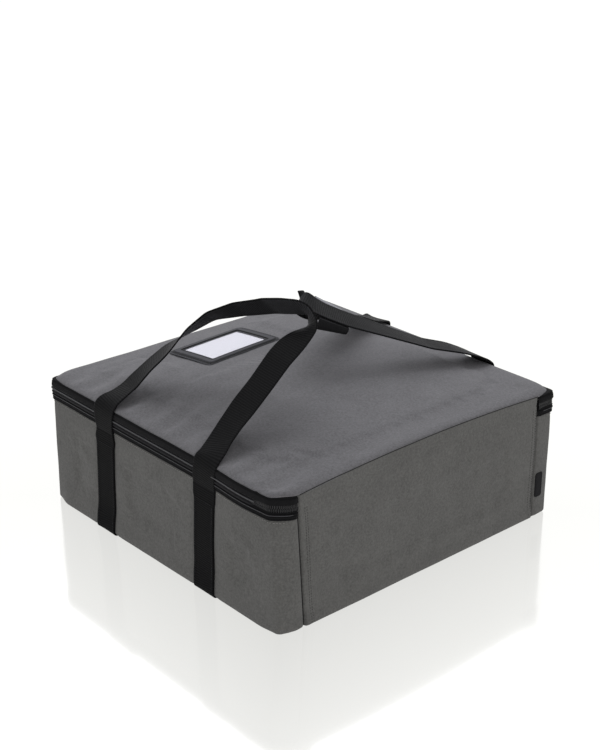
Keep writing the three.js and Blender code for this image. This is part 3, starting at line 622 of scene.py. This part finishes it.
def lid_foam():
    """Wadding of the lid, under its skin, with a flat underside."""
    l = places(12, 3.0, 0, LENGTH)[:-1]
    x, y, nx, ny = plan(l)
    low, under_skin = 160.9, 2.2
    rows = [np.stack([x - nx * 5, y - ny * 5, 0 * x + low], -1)]
    for d in [5, 7, 10, *np.linspace(14, LID_END, 30)]:
        k = 1 - d / HALF
        rows.append(np.stack([x * k, y * k, np.maximum(lid_top(x * k, y * k, d) - under_skin, low + 2)], -1))
    count = len(l)
    flat = np.vstack([np.reshape(rows, (-1, 3)), [[0, 0, LID_PEAK - under_skin], [0, 0, low]]])
    faces = [*map(tuple, grid_faces(len(rows), count, wrap=True))]
    faces += fan((len(rows) - 1) * count, count, len(flat) - 2)
    faces += fan(0, count, len(flat) - 1, outward=False)
    obj = make("lid_wadding", lean(drawn_in(flat)), faces, "lid", M["foam"], ["lid_foam"])


lid_foam()


# ---------------------------------------------------------------- zip
def tube(name, path, radius, body, material):
    """Round thread of six sides along a path."""
    along = unit(np.gradient(path, axis=0))
    aside = unit(np.cross(along, (0.3, 0.5, 0.81)))
    over = np.cross(along, aside)
    turn = np.linspace(0, TAU, 6, endpoint=False)[None, :, None]
    points = path[:, None] + radius * (aside[:, None] * np.cos(turn) + over[:, None] * np.sin(turn))
    grid(name, points, body, material, wrap=True)


def zip_wave(x, y):
    """How far the zip wavers out of the face and up."""
    return 0.3 * waves(x, y, 0 * x, 40, 6.0), 0.35 * waves(x, y, 0 * x, 55, 2.0)


def zip_band(name, section, body, material, stands=(), lo=NEAR_L, hi=FAR_L, sink=0.0):
    """A thin band along the zip: section rows of depth and height. Its ends sink in by some depth."""
    d, z = np.array(section).T
    l = places(4.0, 1.5, lo, hi)
    l = np.broadcast_to(l[:, None], (len(l), len(d)))
    x, y, nx, ny = plan(l)
    out, up = zip_wave(x, y)
    seam = np.minimum(l - lo, hi - l)
    depth = d + 2.0 * np.exp(-(seam / 2.5) ** 2) + sink * (1 - smooth_step(seam, 0, 16)) - out
    z = np.broadcast_to(z, l.shape)
    points = lean(np.stack([x - nx * depth, y - ny * depth, z + up], -1))
    uv = np.stack([l, z + up], -1)
    grid(name, points, body, material, stands, uv, flip=True)


def zip_highlight_cord(name, out, height, radius, lo, hi):
    """A cord along the lower tape, on one of its ridges; its colour, lighter than the tape's, is painted highlight
    along that ridge.
    """
    x, y, nx, ny = plan(places(3.0, 1.5, lo, hi))
    wave, up = zip_wave(x, y)
    path = lean(np.stack([x + nx * (out + wave), y + ny * (out + wave), height + up], -1))
    tube(name, path, radius, "body", M["cord"])


# Sections of the tapes as depth and height, with the grooves beside their rows of stitches
LOW_TAPE = [(3, 142.4), (0.0, 142.6), (-1.6, 143.0), (-1.8, 143.7), (0.3, 144.3), (-1.2, 145.1), (-1.7, 146.0),
            (-1.5, 147.0), (0.0, 147.6), (-1.9, 148.2), (-2.3, 148.9), (-1.8, 149.6), (0.7, 150.2), (0.7, 150.9),
            (-1.5, 151.5), (-1.8, 152.2), (0.3, 152.8)]
TAPE_RIDGE = [(1.0, 151.6), (-1.6, 151.8), (-2.3, 152.5), (-2.5, 153.3), (-2.0, 154.3), (0.4, 155.0), (0.5, 155.9),
              (-1.6, 156.5), (-2.2, 157.2), (-2.0, 158.6), (-1.2, 159.2), (0.4, 159.4)]
HIGH_TAPE = [(2.5, 161.4), (0.2, 161.1), (-1.6, 161.0), (-2.2, 161.5), (-2.3, 162.6), (-2.0, 164), (-1.8, 166.2),
             (-1.4, 167.2), (0.3, 167.9), (0.3, 168.4), (-1.0, 169.2), (0.3, 170.0), (2.4, 170.5), (7.5, 170.9)]
zip_band("zip_tape_low", LOW_TAPE, "body", M["tape"], ["lower_zip_tape"])
zip_band("zip_tape_ridge", TAPE_RIDGE, "body", M["ridge"], lo=ARC + 21, hi=FAR_L - 45, sink=3.0)
# Cords lighter than the tape: painted highlight along its ridges
zip_highlight_cord("zip_highlight_cord", 2.3, ZIP_Z, 0.75, ARC + 24, FAR_L - 50)
zip_highlight_cord("tape_cord", 2.0, 149.0, 0.4, NEAR_L + 8, FAR_L - 8)
zip_band("zip_tape_high", HIGH_TAPE, "lid", M["tape"], ["upper_zip_tape"])


def teeth(name, z0, z1, shift, body, stands):
    """Rounded teeth of one half of the zip, side by side along it."""
    pitch = 1.7
    l = np.arange(NEAR_L + 1.0 + shift, FAR_L - 1, pitch)
    x, y, nx, ny = plan(l)
    ring = np.array([(-0.45, 0.3), (-0.45, -0.75), (-0.2, -1.15), (0.2, -1.15), (0.45, -0.75), (0.45, 0.3)])
    levels = ((z0, 0.75), (z0 + 0.4 * (z1 - z0), 1.0), (z0 + 0.75 * (z1 - z0), 1.0), (z1, 0.6))
    points = [np.stack([x + ny * a - nx * d, y - nx * a - ny * d, 0 * x + z], -1)
              for z, size in levels for a, d in ring * size]
    points = lean(np.stack(points, 1)).reshape(-1, 3)
    one = [*map(tuple, grid_faces(4, 6, wrap=True)), (0, 1, 2, 3, 4, 5), (23, 22, 21, 20, 19, 18)]
    faces = [tuple(k + 24 * i for k in face) for i in range(len(l)) for face in one]
    make(name, points, faces, body, M["coil"], stands, smooth=False)


teeth("teeth_low", 152.6, 157.0, 0.0, "body", ["lower_zip_chain"])
teeth("teeth_high", 157.1, 161.4, 0.85, "lid", ["upper_zip_chain"])
zip_band("zip_back_low", [(1.6, 150.0), (1.6, 160.2)], "body", M["tape"])
zip_band("zip_back_high", [(0.9, 157.6), (0.9, 164.0)], "lid", M["tape"])


# ---------------------------------------------------------------- webbing
def ribbon(name, middle, across, through, width, body, stands, look="web"):
    """Woven band with slightly fuller edges along a row of places."""
    w, t = HALF_WEB, WEB_T / 2
    section = [(-w, 0), (-w + 0.25, t * 0.9), (-w + 1.4, t * 1.15), (-w + 3, t), (-w / 2, t), (0, t), (w / 2, t),
               (w - 3, t), (w - 1.4, t * 1.15), (w - 0.25, t * 0.9)]
    a, b = np.array(section + [(-a, -b) for a, b in section]).T
    wide = np.broadcast_to(width / (2 * HALF_WEB), len(middle))[:, None, None]
    points = middle[:, None] + across[:, None] * a[None, :, None] * wide + through[:, None] * b[None, :, None]
    uv = np.stack(np.broadcast_arrays(travelled(middle)[:, None], a[None, :]), -1)
    rows, cols = points.shape[:2]
    faces = [*map(tuple, grid_faces(rows, cols, wrap=True)), tuple(range(cols)),
             tuple((rows - 1) * cols + k for k in reversed(range(cols)))]
    make(name, points.reshape(-1, 3), faces, body, M[look], stands, uv.reshape(-1, 2))


STRAP_FACE = {}  # Y of each strap's outer face by height


def strap_length(x, side):
    """Length along the plan of a place on the front or back face."""
    return ARC + (REACH - x) if side < 0 else 3 * ARC + 2 * STRAIGHT + (x + REACH)


def wall_strap(name):
    """Sewn strap from under the base, up the padded wall, to where it leaves it."""
    side = STRAPS[name][0]
    turn = np.radians(np.linspace(90, 0, 9))
    roll = BASE_R + 1.2
    depth = np.concatenate([BASE_R + 0.3 - roll * np.cos(turn), np.full(50, -0.9), [0.2]])
    height = np.concatenate([BASE_R + UNDERSIDE - roll * np.sin(turn), np.linspace(8, STRAP_END, 50), [142]])
    x = strap_x(name, height)
    out = wall_out(strap_length(x, side), x, np.full(height.shape, side * HALF), height)
    out = np.maximum(out, 0) * (1 - smooth_step(height, 118, 136)) + 0.5 * smooth_step(height, 0, 8)
    y = side * (HALF - depth + out)
    STRAP_FACE[name] = lambda z: np.interp(z, height[len(turn):], y[len(turn):] + side * 0.95)
    middle = lean(np.stack([x, y, height], -1))
    along = unit(np.gradient(middle, axis=0))
    across = square_to(along, np.tile([1.0, 0, 0], (len(middle), 1)))
    width = STRAP_W + 3.4 * smooth_step(height, 119, 127) + 0.5 * np.sin(height / 17)
    if name == "front_left":
        width = width - NARROWED * smooth_step(height, 127, STRAP_END)
    ribbon(f"web_{name}", middle, across, np.cross(across, along), width, "body", [f"strap_{name}"])


for name in STRAPS:
    wall_strap(name)
for at in ("left", "right"):
    front, back = STRAPS["front_" + at][1][0], STRAPS["back_" + at][1][0]
    y = np.linspace(-221, 221, 30)
    middle = np.stack([front + (back - front) * (y + 221) / 442, y, 0 * y + 0.95], -1)
    across, up = np.tile([1.0, 0, 0], (30, 1)), np.tile([0, 0, 1.0], (30, 1))
    ribbon(f"web_base_{at}", middle, across, up, STRAP_W, "body", [f"strap_base_{at}"])

# Middle of each loop as X, depth in from its face and height over the strap's end, then the way across
FRONT_LOOP = [
    (-103, -0.4, -4, 1, 0, 0), (-103, -1.7, 1, 1, 0, 0), (-103, -2.6, 13, 1, 0, 0), (-102.5, -2.9, 25, 1, 0, 0),
    (-101.5, -1.8, 33.5, 1, 0, 0), (-100.5, 4.5, 39.5, 0.99, 0, 0.08), (-98, 13, 44, 0.98, 0.02, 0.2),
    (-96, 33, 53, 0.96, -0.11, 0.25), (-86, 55, 76, 0.88, -0.47, 0.07), (-71.5, 72.5, 97, 0.85, -0.51, 0.11),
    (-57, 97, 120, 0.65, -0.58, 0.5), (-41.5, 118, 138, 0.47, -0.7, 0.53),
    (-13.5, 138, 149.5, 0.3, -0.69, 0.66), (26.5, 153, 161.5, 0.18, -0.71, 0.68),
    (66, 155, 172, 0.29, -0.67, 0.69), (81.5, 158, 174.5, 0.54, -0.56, 0.63),
    (89.5, 160, 171.5, 0.7, -0.47, 0.53), (95.5, 159, 165, 0.79, -0.41, 0.45),
    (99.5, 158, 159.5, 0.79, -0.47, 0.39), (99.5, 152, 155, 0.91, -0.31, 0.28),
    (100, 141.5, 150.5, 0.98, -0.13, 0.13), (99.5, 125, 141.5, 1, -0.05, -0.08),
    (97.5, 109, 129.5, 0.99, -0.08, -0.12), (95, 82, 102.5, 1, -0.06, -0.04), (92, 60.5, 82, 1, -0.01, -0.03),
    (91.5, 41.5, 65.5, 0.99, 0.05, 0.14), (93, 23.5, 50.5, 0.97, 0.12, 0.23), (98.5, 7, 41, 0.95, 0.15, 0.15),
    (98.5, -1, 36, 1, 0, 0), (97, -2.9, 25, 1, 0, 0), (95.5, -2.6, 13, 1, 0, 0), (94.5, -1.7, 1, 1, 0, 0),
    (94.5, -0.4, -4, 1, 0, 0),
]
BACK_LOOP = [
    (-98, -0.4, -4, -1, 0, 0), (-98, -1.7, 1, -1, 0, 0), (-98, -2.6, 11, -1, 0, 0),
    (-95.5, -3, 22, -1, 0, 0), (-91.5, -2.6, 32, -1, 0, 0),
    (-87.5, 4, 39.5, -0.99, -0.05, -0.06), (-79.5, 22, 46, -0.98, -0.1, -0.05),
    (-68.5, 49, 56.5, -0.96, -0.2, 0), (-55.5, 90, 77, -0.95, -0.22, 0), (-40, 132, 96.5, -0.95, -0.05, 0),
    (-27, 165, 111, -0.88, 0.3, 0.1), (-16, 190, 123, -0.74, 0.64, 0.1), (-8, 207, 131, -0.58, 0.8, 0.11),
    (-4.5, 218.5, 134.5, -0.51, 0.85, 0.12), (-8, 223, 140.5, -0.5, 0.85, 0.13),
    (-2, 219, 144, -0.52, 0.84, 0.13), (8.5, 211, 137.5, -0.72, 0.68, 0.15),
    (17.5, 196, 127, -0.79, 0.59, 0.14), (29, 177, 116.5, -0.87, 0.45, 0.2), (55, 124, 92, -0.9, 0.44, 0.06),
    (80, 80.5, 72.5, -0.93, 0.37, 0), (92, 47, 62, -0.95, 0.32, -0.01), (100, 27, 53.5, -0.95, 0.3, -0.08),
    (104, 10, 45, -0.98, 0.12, -0.05), (104, -1.6, 36, -1, 0, 0), (103.5, -2.9, 24, -1, 0, 0),
    (102, -2.6, 11, -1, 0, 0), (102, -1.7, 1, -1, 0, 0), (102, -0.4, -4, -1, 0, 0),
]


def resampled(values, step):
    """Rows of numbers at an even spacing along the curve that their first three describe."""
    gone = travelled(values[:, :3])
    at = np.linspace(0, gone[-1], int(gone[-1] / step) + 1)
    return np.stack([np.interp(at, gone, values[:, k]) for k in range(values.shape[1])], 1)


def softened(values, reach):
    """Rows smoothed along the curve over about the given number of rows each way, ends kept."""
    for _ in range(int(reach * reach)):
        inner = (values[:-2] + 2 * values[1:-1] + values[2:]) / 4
        values = np.vstack([values[:1], inner, values[-1:]])
    return values


def loop(name, rows, side, body, stands):
    """Free webbing of a carrying loop, along a route that is sampled evenly and smoothed."""
    step = 2.0
    rows = np.array([(x, side * (HALF - d), STRAP_END + up, *w) for x, d, up, *w in rows])
    fine = resampled(rows, step)
    middle = softened(fine[:, :3], 3.2)
    along = unit(np.gradient(middle, axis=0))
    across = square_to(along, softened(fine[:, 3:], 4))
    gone = np.linspace(0, step * len(middle), len(middle))
    width = 2 * HALF_WEB - NARROWED * (1 - smooth_step(gone, 6, 34)) * (side < 0)
    ribbon(name, middle, across, np.cross(along, across), width, body, stands, look="loop")


loop("front_web_loop", FRONT_LOOP, -1, "front_handle", ["front_loop"])
loop("back_web_loop", BACK_LOOP, 1, "back_handle", ["back_loop"])


# ---------------------------------------------------------------- CAD pieces that stay
def bevelled(name, width):
    """Break the sharp edges of a CAD piece."""
    mod = nodes[name].modifiers.new("edge", "BEVEL")
    mod.width = width * MM
    mod.segments = 2
    mod.limit_method = "ANGLE"
    mod.angle_limit = math.radians(35)


def fitted(name, look, body="body"):
    """The CAD piece's own shape, kept clear of the seams and of the corner that leans in."""
    points = points_of(nodes[name])
    points[:, :2] = np.clip(points[:, :2], -221, 221)
    points[:, :2] *= np.where((points[:, 0] > 200) & (points[:, 1] < -200), 0.98, 1)[:, None]
    faces = [tuple(face.vertices) for face in nodes[name].data.polygons]
    obj = make(name + "_fitted", lean(points), faces, body, M[look], [name], smooth=False)


for name in ("front_foam", "left_foam", "back_foam", "right_foam", "base_foam"):
    fitted(name, "foam")
fitted("base_panel", "base")
fitted("base_board", "board")
fitted("lid_lining", "lining", "lid")

# CAD pieces that only get a material, and those whose edges are broken too
KEEP = {"wall_lining": "lining", "base_lining": "lining", "label_card": "card", "label_window": "window"}
BEVELLED = {
    "label_frame": "frame", "front_slider": "metal", "back_slider": "metal", "front_pull": "metal",
    "back_pull": "metal", "grip_centre": "hook", "grip_near_flap": "hook", "grip_far_flap": "pile",
}
for name, look in {**KEEP, **BEVELLED}.items():
    nodes[name].data.materials.clear()
    nodes[name].data.materials.append(M[look])
for name in BEVELLED:
    bevelled(name, 0.35)


# ---------------------------------------------------------------- side tab
def rounded(width, height, corner):
    """Outline of a rounded plate about its middle."""
    out = []
    for k, (sx, sy) in enumerate(((1, 1), (-1, 1), (-1, -1), (1, -1))):
        for a in np.linspace(0, np.pi / 2, 5) + k * np.pi / 2:
            out.append((sx * (width / 2 - corner) + corner * np.cos(a),
                        sy * (height / 2 - corner) + corner * np.sin(a)))
    return np.array(out)


def folded_tab():
    """Bare folded tab of webbing in the far seam, with a groove inside its edge."""
    low, high = points_of(nodes["side_tab"]).min(0), points_of(nodes["side_tab"]).max(0)
    middle_y, middle_z = 205.3, (low[2] + high[2]) / 2
    width, tall, corner = 12.5, high[2] - low[2] - 3, 3.0
    face = high[0]
    section = ((0, low[0] - 1), (0, face - 0.2), (0.5, face + 0.3), (1.6, face + 0.35), (1.9, face),
               (2.2, face + 0.2), (4.0, face + 0.2))
    rings = []
    for inset, x in section:
        y, z = rounded(width - 2 * inset, tall - 2 * inset, max(corner - inset, 0.4)).T
        rings.append(np.stack([0 * y + x, middle_y + y, middle_z + z], -1))
    count = len(rings[0])
    end = (len(rings) - 1) * count
    faces = [*map(tuple, grid_faces(len(rings), count, wrap=True)), tuple(range(end, end + count))]
    points = np.reshape(rings, (-1, 3))
    make("folded_tab", points, faces, "body", M["hook"], ["side_tab"], smooth=False)


folded_tab()


# ---------------------------------------------------------------- stitching
def stitches(name, middle, outward, body, slot, material, length=2.6, gap=1.1, radius=0.28):
    """Small rounded stitches along a row of places, with the direction out of the cloth."""
    gone = travelled(middle)
    ring = [(math.cos(a) * radius, math.sin(a) * radius) for a in np.linspace(0, TAU, 6, endpoint=False)]
    points, faces = [], []
    for s in np.arange(0.5, gone[-1] - length, length + gap):
        first, last = [np.array([np.interp(q, gone, middle[:, k]) for k in range(3)]) for q in (s, s + length)]
        out = np.array([np.interp(s, gone, outward[:, k]) for k in range(3)])
        side = np.cross((last - first) / np.linalg.norm(last - first), out)
        faces += [tuple(f) for f in grid_faces(4, 6, wrap=True, base=len(points))]
        for share, size, lift in ((0, 0.4, -0.25), (0.2, 1, 0.1), (0.8, 1, 0.1), (1, 0.4, -0.25)):
            at = first + (last - first) * share + out * lift
            points += [at + side * u * size + out * v * size for u, v in ring]
    make(name, np.array(points), faces, body, material)


def wall_row(z, inset):
    """Places along the walls' own mesh at a height, inside some of its columns, and the way out of it."""
    columns = points_of(walls).reshape(-1, WALL_ROWS, 3)[inset:-inset]
    order = slice(45, 1, -1)  # up the flat part of the wall
    middle = np.array([[np.interp(z, row[order, 2], row[order, k]) for k in range(3)] for row in columns])
    along = np.gradient(middle, axis=0)
    out = unit(np.stack([along[:, 1], -along[:, 0], 0 * along[:, 0]], -1))
    out *= np.sign((out * middle * (1, 1, 0)).sum(1))[:, None]
    return middle + out * 0.3, out


def strap_stitches(name):
    """A row up each edge of a front strap, and one across it where the loop leaves."""
    top = 121
    z = np.linspace(8, top, 40)
    y = STRAP_FACE[name](z) - 0.1
    look = M["strap_thread"]
    for at, off in (("left", -15.6), ("right", 15.6)):
        row = lean(np.stack([strap_x(name, z) + off, y, z], -1))
        stitches(f"edge_{name}_{at}", row, np.tile([0, -1.0, 0], (40, 1)), "body", "webbing", look, radius=0.3)
    across = np.linspace(-15, 15, 12)
    row = lean(np.stack([strap_x(name, top) + across, 0 * across + y[-1], 0 * across + top], -1))
    stitches(f"box_{name}", row, np.tile([0, -1.0, 0], (12, 1)), "body", "webbing", look, radius=0.35)


def hinge_seams():
    """Seams and rows of stitches on the hinge side, laid on its own mesh, and the seam of the lid's edge. The
    seams are dark tubes: painted shade in their grooves.
    """
    columns = points_of(panel).reshape(-1, WALL_ROWS - 2 + len(HINGE_RISE), 3)
    up = (columns[0, :, 2] > 3) & (columns[0, :, 2] < 157)
    # Dark tubes in the seams: painted shade in their grooves
    for at, k in (("near", 0), ("far", -1)):
        tube(f"seam_{at}", columns[k][up] + (1.0, 0, 0), 0.55, "body", M["dark_thread_and_shade"])
    out = np.tile([1.0, 0, 0], (up.sum(), 1))
    for at, k in (("near_1", 6), ("near_2", 7), ("far_1", -5), ("far_2", -7)):
        stitches(f"seam_stitches_{at}", columns[k][up] + (0.05, 0, 0), out, "body", "wall_fabric",
                 M["dark_thread_and_shade"], length=2.2, gap=1.3, radius=0.22)
    # Dark tube along the lid's edge: painted shade in the crease
    tube("lid_seam_shade", columns[:, -1] + (0.1, 0, 0.4), 0.6, "lid", M["dark_thread_and_shade"])


stitches("zip_stitches", *wall_row(139.5, 8), "body", "wall_fabric", M["thread"], radius=0.42)
strap_stitches("front_left")
strap_stitches("front_right")
hinge_seams()


def on_frame(half_x, half_y, corner, lift):
    """A rounded rectangle round the label, laid on its frame."""
    u, v = rounded(2 * half_x, 2 * half_y, corner).T
    x = LABEL_X + u * np.cos(LABEL_TURN) - v * np.sin(LABEL_TURN)
    y = LABEL_Y + u * np.sin(LABEL_TURN) + v * np.cos(LABEL_TURN)
    ring = np.column_stack([x, y, 0 * x])
    path = resampled(np.vstack([ring, ring[:1]]), 1.5)
    data = nodes["label_frame"].data
    tree = BVHTree.FromPolygons([v.co / MM for v in data.vertices], [tuple(f.vertices) for f in data.polygons])
    for point in path:
        top = tree.ray_cast(Vector((point[0], point[1], 300)), Vector((0, 0, -1)))[0]
        top = top or tree.find_nearest(Vector((point[0], point[1], 187)))[0]
        point[2] = top.z + lift
    return path


# Dark tubes: painted shade along the frame's step and inside the window's edge
tube("frame_step_shade", on_frame(37.4, 60.4, 5, 0.1), 0.7, "lid", M["dark_thread_and_shade"])
tube("window_edge_shade", on_frame(30.6, 50.7, 1.5, 0.2), 0.8, "lid", M["dark_thread_and_shade"])
frame_row = on_frame(39.3, 63.0, 7, 0.2)
upward = np.tile([0, 0, 1.0], (len(frame_row), 1))
stitches("frame_stitches", frame_row, upward, "lid", "label_frame", M["dark_thread_and_shade"], length=2.2, gap=1.2,
         radius=0.3)


# ---------------------------------------------------------------- stage, light, camera
def mixed(tree, share, one, two, out):
    """Link a mix of two shaders to an output node."""
    mix = tree.nodes.new("ShaderNodeMixShader")
    for k, source in enumerate((share, one.outputs[0], two.outputs[0])):
        tree.links.new(source, mix.inputs[k])
    tree.links.new(mix.outputs[0], out.inputs[0])


def floor():
    """White tabletop: bright by itself, with a sharp reflection that fades away from what stands on it."""
    s = 12.0
    data = bpy.data.meshes.new("floor")
    data.from_pydata([(-s, -s, 0), (s, -s, 0), (s, s, 0), (-s, s, 0)], [], [(0, 1, 2, 3)])
    material = bpy.data.materials.new("floor")
    material.use_nodes = True
    tree = material.node_tree
    tree.nodes.clear()
    out = tree.nodes.new("ShaderNodeOutputMaterial")
    place = tree.nodes.new("ShaderNodeTexCoord").outputs["Object"]
    cloud = node(tree, "ShaderNodeTexNoise", {"Vector": place}, Scale=3.0)
    rough = node(tree, "ShaderNodeMapRange", {"Value": cloud.outputs[0]}, To_Min=0.08, To_Max=0.12)
    gloss = node(tree, "ShaderNodeBsdfGlossy", {"Roughness": rough.outputs[0]})
    glow = node(tree, "ShaderNodeEmission", Strength=1.08)
    glow.inputs["Color"].default_value = (1, 1, 0.975, 1)
    split = node(tree, "ShaderNodeSeparateXYZ", {0: place})
    away = maths(tree, "MAXIMUM", *[maths(tree, "ABSOLUTE", split.outputs[k]) for k in (0, 1)])
    share = node(tree, "ShaderNodeMapRange", {"Value": away}, From_Min=0.22, From_Max=0.5, To_Min=0.34,
                 To_Max=0.13)
    mixed(tree, share.outputs[0], glow, gloss, out)
    data.materials.append(material)
    obj = bpy.data.objects.new("floor", data)
    bpy.context.scene.collection.objects.link(obj)


def area(name, at, size, power, colour=(1, 1, 1)):
    """Soft round light that looks at the bag."""
    data = bpy.data.lights.new(name, "AREA")
    data.shape = "DISK"
    data.size = size
    data.energy = power
    data.color = colour
    obj = bpy.data.objects.new(name, data)
    obj.location = at
    obj.rotation_euler = (Vector((0, 0, 0.1)) - Vector(at)).to_track_quat("-Z", "Y").to_euler()
    bpy.context.scene.collection.objects.link(obj)


def world():
    """White background behind a softer ambient light."""
    made = bpy.data.worlds.new("studio")
    bpy.context.scene.world = made
    made.use_nodes = True
    tree = made.node_tree
    tree.nodes.clear()
    out = tree.nodes.new("ShaderNodeOutputWorld")
    ray = tree.nodes.new("ShaderNodeLightPath")
    seen = maths(tree, "MAXIMUM", ray.outputs["Is Camera Ray"], ray.outputs["Is Glossy Ray"])
    seen = maths(tree, "MAXIMUM", seen, ray.outputs["Is Transmission Ray"])
    ambient = node(tree, "ShaderNodeBackground", Color=(1, 1, 1, 1), Strength=0.70)
    white = node(tree, "ShaderNodeBackground", Color=(1, 1, 1, 1), Strength=1.0)
    mixed(tree, seen, ambient, white, out)


floor()
world()
area("top", (-1.1, 0.8, 2.1), 2.4, 46, (0.97, 0.98, 1.0))
area("front", (-0.9, -2.4, 1.2), 2.0, 9)
area("right", (2.6, 0.2, 1.4), 2.0, 14, (1.0, 0.985, 0.96))

camera = bpy.data.objects.new("camera", bpy.data.cameras.new("camera"))
bpy.context.scene.collection.objects.link(camera)
bpy.context.scene.camera = camera
camera.data.sensor_width = 36
camera.data.sensor_fit = "HORIZONTAL"
camera.data.lens = 87.84
camera.location = (1.27134, -1.11567, 0.90477)
aim = Vector((0.07325, -0.0638, 0.22354))
camera.rotation_euler = (aim - camera.location).to_track_quat("-Z", "Y").to_euler()
bpy.context.scene.view_settings.view_transform = "Standard"
